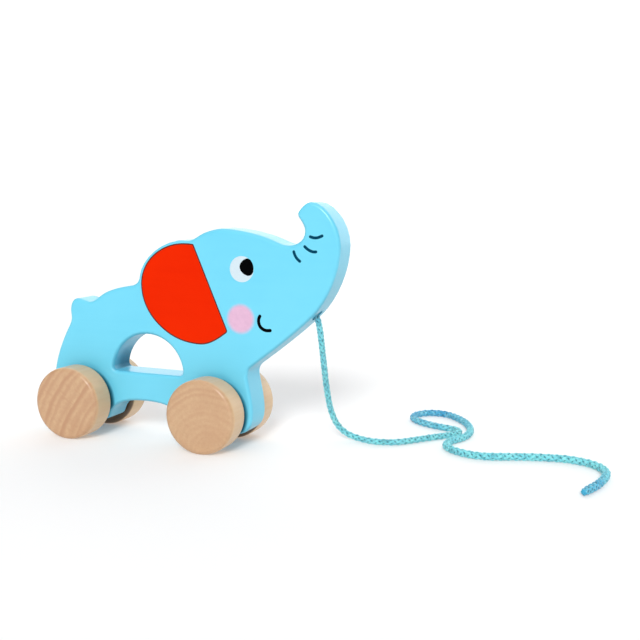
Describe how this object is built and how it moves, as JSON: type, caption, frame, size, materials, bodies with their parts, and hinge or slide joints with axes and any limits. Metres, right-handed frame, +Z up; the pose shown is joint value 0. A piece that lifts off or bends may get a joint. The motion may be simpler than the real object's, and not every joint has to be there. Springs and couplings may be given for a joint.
{
  "type": "pull along toy",
  "caption": "Flat wooden elephant pull along toy with a hand hole, glued wheels turning on dowel axles, and a braided pull cord from the chin.",
  "frame": {"origin": "on the floor, under the middle of the toy's length and width, without its cord", "axes": "+X the way the elephant walks, -Y its right side, +Z up"},
  "size_m": [0.3454, 0.1591, 0.1499],
  "materials": {
    "blue_paint": "satin sky-blue paint on wood",
    "red_paint": "satin orange-red paint on wood",
    "beech_wood": "smooth sanded beech, clear matt lacquer",
    "dowel_wood": "smooth birch dowel, unfinished",
    "cord_fibre": "turquoise braided polyester cord"
  },
  "bodies": {
    "toy_body": {"body_board": "blue_paint", "ear_right": "red_paint", "ear_left": "red_paint", "pull_cord": "cord_fibre"},
    "front_wheels": {"front_axle": "dowel_wood", "front_wheel_right": "beech_wood", "front_wheel_left": "beech_wood"},
    "rear_wheels": {"rear_axle": "dowel_wood", "rear_wheel_right": "beech_wood", "rear_wheel_left": "beech_wood"}
  },
  "joints": [
    {"name": "front_axle_spin", "type": "hinge", "parent": "toy_body", "child": "front_wheels", "pos_m": [0.01785, 0, 0.0225], "axis": [0, 1, 0], "continuous": true},
    {"name": "rear_axle_spin", "type": "hinge", "parent": "toy_body", "child": "rear_wheels", "pos_m": [-0.07435, 0, 0.0225], "axis": [0, 1, 0], "continuous": true}
  ]
}
